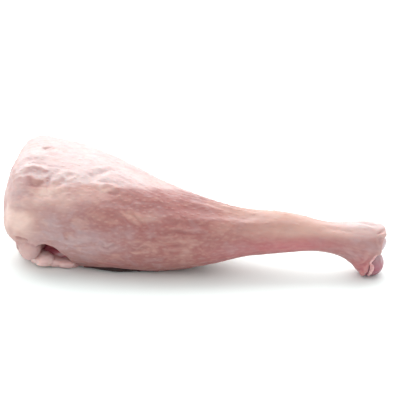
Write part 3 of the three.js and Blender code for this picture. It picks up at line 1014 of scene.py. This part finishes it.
def skin_material(settings, flesh):
    material, graph = new_material("skin")
    uneven = place_group(graph, "Mottle", Contrast=2.3)
    film = wet_film(graph, 0.58, 0.44, 0.16)

    colour = graph.mix(graph.span(uneven["Clouds"], 0.2, 0.8, 0.0, 0.55), settings.middle, settings.rose)
    rose = graph.times(graph.attribute("rose"), graph.span(uneven["Blotches"], 0.15, 0.7, 0.35, 1))
    colour = graph.mix(rose, colour, settings.rose)
    lilac = graph.times(graph.attribute("lilac"), graph.span(uneven["Blotches"], 0.2, 0.8, 1, 0.4))
    colour = graph.mix(lilac, colour, settings.lilac)
    for tint in ("peach", "blush", "cream"):
        colour = graph.mix(graph.attribute(tint), colour, getattr(settings, tint))
    # Painted light: the lit copy of the pale skin where it faces up, the shaded copy where it turns down.
    pale = graph.mix(graph.span(graph.attribute("pale"), 0.7, 0.95), settings.shaded_pale, settings.pale)
    colour = graph.mix(graph.times(graph.attribute("pale"), 0.85), colour, pale)

    uneven_here = graph.attribute("uneven")
    for share, tint in (
        (graph.span(uneven["Veils"], 0.45, 0.95, 0.0, 0.35), settings.lilac),
        (graph.span(uneven["Veils"], 0.05, 0.5, 0.35, 0.0), settings.peach),
    ):
        colour = graph.mix(graph.times(share, uneven_here), colour, tint)
    lighter, darker = (graph.mix(1.0, colour, shade, "MULTIPLY") for shade in (LIGHTER, DARKER))
    for share, tint in (
        (graph.span(uneven["Blotches"], 0.1, 0.6, 0.38, 0.0), darker),
        (graph.span(uneven["Specks"], 0.35, 0.8, 0.0, 0.28), lighter),
    ):
        colour = graph.mix(graph.times(share, uneven_here), colour, tint)
    # Painted shade: the creases are painted darker.
    colour = graph.mix(graph.times(graph.attribute("groove"), 0.5), colour, darker)
    # Painted highlight: ridges and follicle bumps are painted lighter, towards cream.
    follicle = graph.times(graph.attribute("follicle"), 0.7)
    raised = graph.math("MAXIMUM", graph.attribute("ridge"), follicle)
    bright = graph.mix(0.5, colour, settings.cream)
    colour = graph.mix(graph.times(raised, graph.times(uneven_here, 0.32)), colour, bright)

    # The rim: the skin's own cut edge, and painted reflected light on the belly's lower lip.
    colour = graph.mix(graph.times(graph.attribute("rim"), 0.75), colour, settings.rim)
    # Painted shade: the cleft under the belly, near black.
    colour = graph.mix(graph.attribute("cleft"), colour, CLEFT_PAINTED_SHADE)
    colour = graph.mix(graph.attribute("raw"), colour, graph.mix(0.55, flesh.muscle, settings.rim))

    pores = graph.noise(graph.coordinates((1.7, 1, 1)), 0.9, 2, 0.5)
    creping = graph.noise(graph.coordinates((3.2, 1, 1)), 2.1, 2, 0.5, 0.4)
    height = graph.math("ADD", graph.times(pores, 0.4), creping)
    add_wet_shader(
        graph, colour, film, Normal=graph.bump(height, 0.2 * MM, 0.5),
        Subsurface_Weight=0.3, Subsurface_Radius=FLESH_RADIUS, Subsurface_Scale=1.7 * MM,
        Specular_IOR_Level=0.42, Coat_Roughness=0.16, Coat_IOR=1.36)
    return material


def muscle_material(flesh):
    material, graph = new_material("muscle")
    threads = place_group(graph, "Fibres", Strength=1.0)
    uneven = place_group(graph, "Mottle", Contrast=2.0)
    colour = graph.mix(graph.span(threads["Bundles"], 0.35, 0.7, 0.0, 0.5), flesh.muscle, BRIGHT_BUNDLES)
    colour = graph.mix(graph.span(uneven["Clouds"], 0.3, 0.8, 0.0, 0.35), colour, DARK_CLOUDS)
    sinew = graph.times(graph.attribute("sinew"), graph.span(uneven["Blotches"], 0.1, 0.7, 0.35, 1))
    colour = graph.mix(sinew, colour, flesh.sinew)
    film = wet_film(graph, 0.42, 0.24, 0.6)
    add_wet_shader(
        graph, colour, film, Normal=graph.bump(threads["Fibres"], 0.5 * MM, 0.9),
        Subsurface_Weight=0.25, Subsurface_Radius=FLESH_RADIUS, Subsurface_Scale=1.8 * MM,
        Specular_IOR_Level=0.55, Coat_Roughness=0.1, Coat_IOR=1.36)
    return material


def fat_material(flesh, settings):
    material, graph = new_material("fat")
    uneven = place_group(graph, "Mottle", Contrast=2.0)
    film = wet_film(graph, 0.46, 0.3, 0.45)
    colour = graph.mix(graph.span(uneven["Clouds"], 0.25, 0.8, 0.0, 0.5), flesh.fat, settings.lilac)
    colour = graph.mix(graph.span(uneven["Blotches"], 0.3, 0.8, 0.0, 0.4), colour, settings.rim)
    # Painted shade: the hollows between the lobes are painted darker, in rose.
    colour = graph.mix(graph.times(graph.attribute("groove"), 0.6), colour, settings.rose)
    add_wet_shader(
        graph, colour, film, Normal=graph.bump(film["Grain"], 0.3 * MM, 0.6),
        Subsurface_Weight=0.45, Subsurface_Radius=FAT_RADIUS, Subsurface_Scale=2.6 * MM,
        Specular_IOR_Level=0.5, Coat_Roughness=0.14, Coat_IOR=1.36)
    return material


def cartilage_material(flesh, settings):
    material, graph = new_material("cartilage")
    uneven = place_group(graph, "Mottle", Contrast=2.0)
    film = wet_film(graph, 0.4, 0.26, 0.5)
    colour = graph.mix(graph.span(uneven["Clouds"], 0.25, 0.8, 0.1, 0.7), flesh.cartilage, settings.lilac)
    colour = graph.mix(graph.span(uneven["Blotches"], 0.5, 0.85, 0.0, 0.45), colour, settings.lilac)
    colour = graph.mix(graph.times(graph.attribute("blush"), 0.9), colour, DARK_ROSE_FOOT)
    add_wet_shader(
        graph, colour, film, Normal=graph.bump(film["Grain"], 0.25 * MM, 0.5),
        Subsurface_Weight=0.35, Subsurface_Radius=GRISTLE_RADIUS, Subsurface_Scale=2.0 * MM,
        Specular_IOR_Level=0.55, Coat_Roughness=0.08, Coat_IOR=1.4)
    return material


def gristle_material(name, flesh, settings):
    material, graph = new_material(name)
    uneven = place_group(graph, "Mottle", Contrast=2.0)
    colour = graph.mix(graph.span(uneven["Specks"], 0.3, 0.9, 0.0, 0.5), settings.rim, flesh.fat)
    add_wet_shader(
        graph, colour, wet_film(graph, 0.38, 0.24, 0.7),
        Subsurface_Weight=0.35, Subsurface_Radius=GRISTLE_RADIUS, Subsurface_Scale=1.2 * MM,
        Specular_IOR_Level=0.55, Coat_Roughness=0.1, Coat_IOR=1.36)
    return material


# ---------------------------------------------------------------------------- operators

MUSCLE_GRAIN = 0.6 * MM  # edge length of each piece's mesh
FAT_GRAIN = 0.45 * MM
KNUCKLE_GRAIN = 0.4 * MM
STRAND_GRAIN = 0.22 * MM
SKIN_ROUNDS = 16  # how often the facets are evened out
FLESH_ROUNDS = 8
STRAND_ROUNDS = 4

# Relief of the flesh: size of the lumps in millimetres, height, seed of the noise and layers.
FAT_RELIEF = [((6, 6, 5), 0.9, 301, 3), ((2.2, 2.2, 2.0), 0.16, 311, 2)]
KNUCKLE_RELIEF = [((7, 7, 7), 0.6, 401, 2), ((2.4, 2.4, 2.4), 0.2, 411, 2)]
STRAND_RELIEF = [((1.8, 1.8, 1.8), 0.16, 501, 2)]

# The bare muscle's near face, set back under the skin: places along the leg, and where it stands.
MUSCLE_FACE = dict(places=[-90, -85, -79, -70, -62, -50], fronts=[-28, -31, -34, -33, -30.5, -31.5])
FOOT_INSET = 7  # how much further back it stands at its foot
GAP_DEPTH = 1.1  # of the gaps between bundles of fibres
GAP_WIDTH = 0.14  # as a share of the bundles' own noise


def lumpy(points, relief):
    """The height that lumps of several sizes raise at each point."""
    return sum(height * layered_noise(points / np.array(size), seed, layers)
               for size, height, seed, layers in relief)


def muscle_relief(points):
    """Bundles of fibres with narrow gaps between them, and the threads that they are made of."""
    bundle = layered_noise(points / np.array([26, 5.5, 9]), 201, 2)
    thread = layered_noise(points / np.array([12, 1.9, 3]), 211, 2)
    gap = np.exp(-((bundle / GAP_WIDTH) ** 2))
    return -GAP_DEPTH * gap + 0.7 * bundle + 0.2 * thread - 0.2


def smooth_piece(name, voxel, node, lumps=(), rounds=FLESH_ROUNDS):
    """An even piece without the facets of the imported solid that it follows."""
    piece = even_piece(name, voxel, node, lumps)
    surface = Surface(piece.data)
    surface.points = surface.without_facets(rounds)
    return piece, surface


class GOOSE_LEG_OT_skin(bpy.types.Operator):
    """Wraps the leg in skin with its folds, wrinkles and follicles"""

    bl_idname = "goose_leg.skin"
    bl_label = "Make the Skin"

    def execute(self, context):
        settings, flesh = context.scene.goose_leg_skin, context.scene.goose_leg_flesh
        piece, surface = smooth_piece("skin", settings.voxel, SKIN_NODE, SKIN_LUMPS, SKIN_ROUNDS)
        material = skin_material(settings, flesh)
        surface.write()
        leg_line = LegLine(surface.points)
        outside = smooth_step(distance_to_nodes(surface.points, BARE_NODES), 0.6, 3.0)
        off_the_table = smooth_step(surface.points[:, 2], 0.0, 1.5)
        height = fold_relief(surface.points, tree_of(piece.data))
        height += settings.wrinkles * fine_relief(surface.points, leg_line) * outside
        surface.raise_by(height * off_the_table)
        open_the_slit(surface)
        undercut_the_belly(surface)
        surface.settle()

        surface.paint("feathered", feathered(surface.points, surface.normals()))
        follicles, sockets = follicle_tree()
        raised = piece.modifiers.new("follicles", "NODES")
        raised.node_group = follicles
        raised[sockets["spacing"]] = settings.follicle_spacing
        raised[sockets["width"]] = settings.follicle_width
        raised[sockets["height"]] = settings.follicle_height
        raised[sockets["stretch"]] = FOLLICLE_STRETCH
        raised[sockets["seed"]] = FOLLICLE_SEED
        raised[sockets["material"]] = material
        apply_modifiers(piece)
        thin_out(piece, settings.most_triangles)

        surface = Surface(piece.data)
        surface.settle()
        paint_skin(surface, leg_line)
        finish_piece(piece, material, "skin", SKIN_NODE)
        return {"FINISHED"}


class GOOSE_LEG_OT_muscle(bpy.types.Operator):
    """Makes the bare muscle of the inner thigh"""

    bl_idname = "goose_leg.muscle"
    bl_label = "Make the Muscle"

    def execute(self, context):
        piece, surface = smooth_piece("bare_muscle", MUSCLE_GRAIN, MUSCLE_NODE)
        surface.raise_by(muscle_relief(surface.points))
        points = surface.points
        front = np.interp(points[:, 0], MUSCLE_FACE["places"], MUSCLE_FACE["fronts"])
        foot = FOOT_INSET * smooth_step(-points[:, 2], -6, -4.5) * smooth_step(-points[:, 0], 66, 72)
        points[:, 1] = np.maximum(points[:, 1], front + foot)
        surface.settle(0.1)
        sinew = layered_noise(points / np.array([17, 6, 8]), 221, 3)
        surface.paint("sinew", smooth_step(sinew, 0.05, 0.5))
        material = muscle_material(context.scene.goose_leg_flesh)
        finish_piece(piece, material, "muscle", MUSCLE_NODE)
        return {"FINISHED"}


class GOOSE_LEG_OT_fat(bpy.types.Operator):
    """Makes the fold of soft fat that the knee end lies on"""

    bl_idname = "goose_leg.fat"
    bl_label = "Make the Fat"

    def execute(self, context):
        settings, flesh = context.scene.goose_leg_skin, context.scene.goose_leg_flesh
        piece, surface = smooth_piece("fat_lobes", FAT_GRAIN, FAT_NODE, FAT_LUMPS)
        surface.raise_by(lumpy(surface.points, FAT_RELIEF))
        surface.settle()
        # Painted shade: marks the hollows between the lobes, which the material paints darker.
        surface.paint("groove", smooth_step(-surface.proud(14), 0.0, 0.4))
        finish_piece(piece, fat_material(flesh, settings), "fat", FAT_NODE)
        return {"FINISHED"}


class GOOSE_LEG_OT_knuckle(bpy.types.Operator):
    """Makes the knuckle of the shin bone, with its gristle"""

    bl_idname = "goose_leg.knuckle"
    bl_label = "Make the Knuckle"

    def execute(self, context):
        settings, flesh = context.scene.goose_leg_skin, context.scene.goose_leg_flesh
        piece, surface = smooth_piece("knuckle", KNUCKLE_GRAIN, KNUCKLE_NODE)
        surface.raise_by(lumpy(surface.points, KNUCKLE_RELIEF))
        surface.settle()
        # Darker and redder towards the table, by height.
        surface.paint("blush", smooth_step(-surface.points[:, 2], -15, -5))
        finish_piece(piece, cartilage_material(flesh, settings), "cartilage", KNUCKLE_NODE)
        return {"FINISHED"}


class GOOSE_LEG_OT_strands(bpy.types.Operator):
    """Makes the drawn-back edge of the skin at the hock and the end of the tendon beside it"""

    bl_idname = "goose_leg.strands"
    bl_label = "Make the Strands"

    def execute(self, context):
        settings, flesh = context.scene.goose_leg_skin, context.scene.goose_leg_flesh
        for name, strand in STRANDS.items():
            piece = even_piece(name, STRAND_GRAIN, lumps=string_of_lumps(**strand))
            surface = Surface(piece.data)
            surface.points = surface.relaxed(surface.points, STRAND_ROUNDS)
            surface.raise_by(lumpy(surface.points, STRAND_RELIEF))
            surface.settle()
            finish_piece(piece, gristle_material(name, flesh, settings), "cartilage")
        return {"FINISHED"}


class GOOSE_LEG_OT_stage(bpy.types.Operator):
    """Sets the pale table, the soft light and the camera"""

    bl_idname = "goose_leg.stage"
    bl_label = "Set the Stage"

    def execute(self, context):
        settings = context.scene.goose_leg_stage
        make_table(settings)
        light_the_room(context.scene, settings)
        place_camera(context.scene, settings)
        return {"FINISHED"}


# ---------------------------------------------------------------------------- the stage

TABLE_SIZE = 8.0
CAMERA_TARGET = (4.2 * MM, -20 * MM, 35.5 * MM)
SENSOR_WIDTH = 36.0  # in millimetres, as the lens is
TABLE_ROUGHNESS = 0.6
BACKDROP = dict(Color=(1.0, 1.0, 1.0), Strength=1.05)  # what the camera sees behind the leg
ROOM_COLOUR = (1.0, 0.995, 0.99)
SOFTBOX = dict(size=(2.6, 1.7), place=(-0.15, 0.85, 1.0), target=(0, 0, 0))


def make_table(settings):
    half = TABLE_SIZE / 2
    mesh = bpy.data.meshes.new("table")
    corners = [(-half, -half, 0), (half, -half, 0), (half, half, 0), (-half, half, 0)]
    mesh.from_pydata(corners, [], [(0, 1, 2, 3)])
    table = bpy.data.objects.new("table", mesh)
    bpy.context.scene.collection.objects.link(table)
    material, graph = new_material("table")
    add_shader(graph, Base_Color=settings.floor_colour, Roughness=TABLE_ROUGHNESS)
    mesh.materials.append(material)


def add_softbox(name, power, size, place, target):
    light = bpy.data.lights.new(name, "AREA")
    light.shape = "RECTANGLE"
    light.size, light.size_y = size
    light.energy = power
    softbox = bpy.data.objects.new(name, light)
    softbox.location = place
    softbox.rotation_euler = (Vector(target) - Vector(place)).to_track_quat("-Z", "Y").to_euler()
    bpy.context.scene.collection.objects.link(softbox)


def light_the_room(scene, settings):
    """A white room that shows pure white behind the leg, and a softbox above and behind it."""
    world = bpy.data.worlds.new("white room")
    scene.world = world
    world.use_nodes = True
    graph = Graph(world.node_tree)
    graph.nodes.clear()
    seen = graph.add("ShaderNodeBackground", **BACKDROP)
    lit = graph.add("ShaderNodeBackground", Color=ROOM_COLOUR, Strength=settings.room_light)
    path = graph.add("ShaderNodeLightPath")
    choice = graph.join("ShaderNodeMixShader", {}, "Shader", path.outputs["Is Camera Ray"],
                        lit.outputs["Background"], seen.outputs["Background"])
    graph.add("ShaderNodeOutputWorld", Surface=choice)
    add_softbox("overhead", settings.overhead_power, **SOFTBOX)
    scene.view_settings.view_transform = "Standard"


def place_camera(scene, settings):
    lens = bpy.data.cameras.new("camera")
    lens.lens = settings.camera_lens
    lens.sensor_width = SENSOR_WIDTH
    camera = bpy.data.objects.new("camera", lens)
    down = settings.camera_elevation
    back = Vector((0, -math.cos(down), math.sin(down))) * settings.camera_distance
    camera.location = Vector(CAMERA_TARGET) + back
    camera.rotation_euler = (math.pi / 2 - down, 0, 0)
    scene.collection.objects.link(camera)
    scene.camera = camera


# ---------------------------------------------------------------------------- panel and main


class GOOSE_LEG_PT_panel(bpy.types.Panel):
    """Lists the pieces of the goose leg and their settings"""

    bl_idname = "GOOSE_LEG_PT_panel"
    bl_label = "Raw Goose Leg"
    bl_space_type = "VIEW_3D"
    bl_region_type = "UI"
    bl_category = "Goose Leg"

    def draw(self, context):
        for operator in PIECE_OPERATORS:
            self.layout.operator(operator.bl_idname)
        for group in SETTINGS:
            box = self.layout.box()
            for name in SETTINGS[group].__annotations__:
                box.prop(getattr(context.scene, group), name)


SETTINGS = {
    "goose_leg_skin": SkinSettings,
    "goose_leg_flesh": FleshSettings,
    "goose_leg_stage": StageSettings,
}
PIECE_OPERATORS = (
    GOOSE_LEG_OT_skin,
    GOOSE_LEG_OT_muscle,
    GOOSE_LEG_OT_fat,
    GOOSE_LEG_OT_knuckle,
    GOOSE_LEG_OT_strands,
    GOOSE_LEG_OT_stage,
)
CLASSES = (*SETTINGS.values(), *PIECE_OPERATORS, GOOSE_LEG_PT_panel)


def register():
    for each in CLASSES:
        bpy.utils.register_class(each)
    for name, group in SETTINGS.items():
        setattr(bpy.types.Scene, name, bpy.props.PointerProperty(type=group))


def unregister():
    for name in SETTINGS:
        delattr(bpy.types.Scene, name)
    for each in reversed(CLASSES):
        bpy.utils.unregister_class(each)


def main():
    register()
    bpy.ops.goose_leg.stage()
    bpy.ops.goose_leg.skin()
    bpy.ops.goose_leg.muscle()
    bpy.ops.goose_leg.fat()
    bpy.ops.goose_leg.knuckle()
    bpy.ops.goose_leg.strands()


if __name__ == "__main__":
    main()
